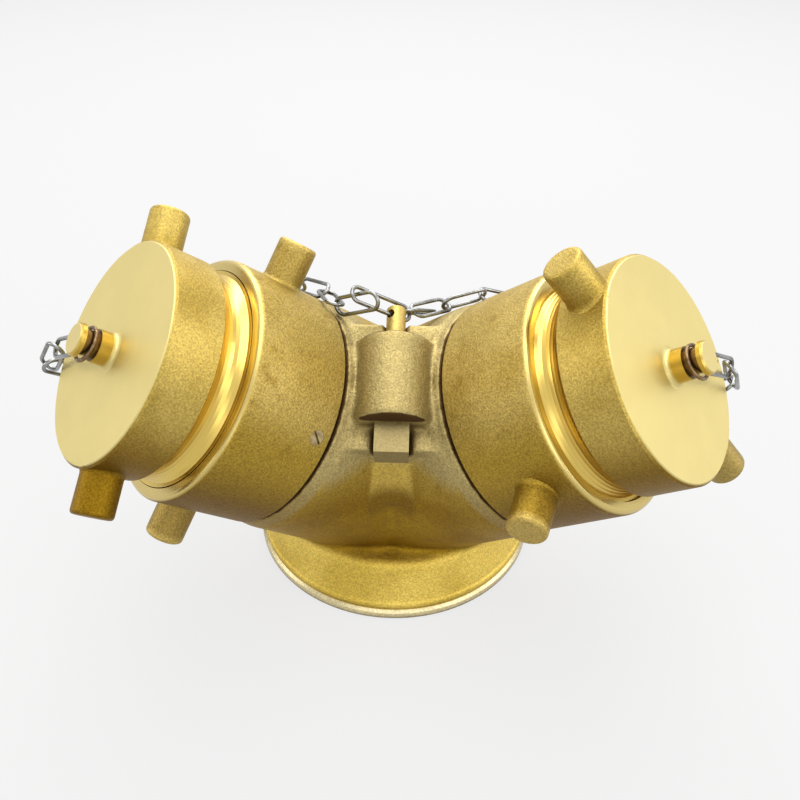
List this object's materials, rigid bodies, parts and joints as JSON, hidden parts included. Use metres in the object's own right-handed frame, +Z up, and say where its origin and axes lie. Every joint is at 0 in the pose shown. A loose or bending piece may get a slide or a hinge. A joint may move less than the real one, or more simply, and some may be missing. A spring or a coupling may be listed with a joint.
{
  "type": "fire department connection",
  "caption": "Brass siamese fire department connection with a threaded bottom outlet, leaning swivel inlets, a double clapper and plugs on chains.",
  "frame": {"origin": "centre of the outlet's face", "axes": "+Z up the outlet's axis into the body, +X towards the right-hand inlet, -Y towards the front, the way both inlets lean"},
  "size_m": [0.2886, 0.1688, 0.1788],
  "materials": {
    "cast_brass": "fine sand-cast, unpolished",
    "machined_brass": "cast and turned, satin",
    "screw_metal": "dull, filed flush",
    "ring_wire": "dark tarnished wire",
    "chain_steel": "plated steel wire",
    "ball_steel": "bright ground steel",
    "rubber": "matt black rubber"
  },
  "bodies": {
    "frame": {"body": "cast_brass", "hinge_pin": "machined_brass", "bearing_balls_left": "ball_steel", "bearing_balls_right": "ball_steel", "chain_left": "chain_steel", "chain_right": "chain_steel"},
    "flap": {"clapper": "machined_brass", "clapper_facing_left": "rubber", "clapper_facing_right": "rubber", "clapper_bolt": "machined_brass", "clapper_nut": "machined_brass"},
    "coupling_left": {"swivel_left": "machined_brass", "race_screw_left": "screw_metal", "swivel_gasket_left": "rubber"},
    "coupling_right": {"swivel_right": "machined_brass", "race_screw_right": "screw_metal", "swivel_gasket_right": "rubber"},
    "ring_left": {"stem_ring_left": "ring_wire"},
    "ring_right": {"stem_ring_right": "ring_wire"},
    "stopper_left": {"plug_left": "machined_brass"},
    "stopper_right": {"plug_right": "machined_brass"}
  },
  "joints": [
    {"name": "clapper_swing", "type": "hinge", "parent": "frame", "child": "flap", "pos_m": [0, -0.0395, 0.11162], "axis": [0, 0.866, 0.5], "range_deg": [-45, 45]},
    {"name": "swivel_left_turn", "type": "hinge", "parent": "frame", "child": "coupling_left", "pos_m": [0, 0, 0.0432], "axis": [-0.7071, -0.3536, 0.6124], "continuous": true},
    {"name": "swivel_right_turn", "type": "hinge", "parent": "frame", "child": "coupling_right", "pos_m": [0, 0, 0.0432], "axis": [0.7071, -0.3536, 0.6124], "continuous": true},
    {"name": "plug_left_travel", "type": "slide", "parent": "frame", "child": "ring_left", "axis": [-0.7071, -0.3536, 0.6124], "range_m": [-0.0022, 0.0148]},
    {"name": "plug_left_turn", "type": "hinge", "parent": "ring_left", "child": "stopper_left", "pos_m": [0, 0, 0.0432], "axis": [-0.7071, -0.3536, 0.6124], "range_deg": [-230, 1570], "deforming": ["chain_left"]},
    {"name": "plug_right_travel", "type": "slide", "parent": "frame", "child": "ring_right", "axis": [0.7071, -0.3536, 0.6124], "range_m": [0, 0.017]},
    {"name": "plug_right_turn", "type": "hinge", "parent": "ring_right", "child": "stopper_right", "pos_m": [0, 0, 0.0432], "axis": [0.7071, -0.3536, 0.6124], "range_deg": [0, 1800], "deforming": ["chain_right"]}
  ],
  "couplings": [
    {"joint": "plug_left_travel", "follows": "plug_left_turn", "m_per_rad": 0.000539},
    {"joint": "plug_right_travel", "follows": "plug_right_turn", "m_per_rad": 0.000539}
  ]
}
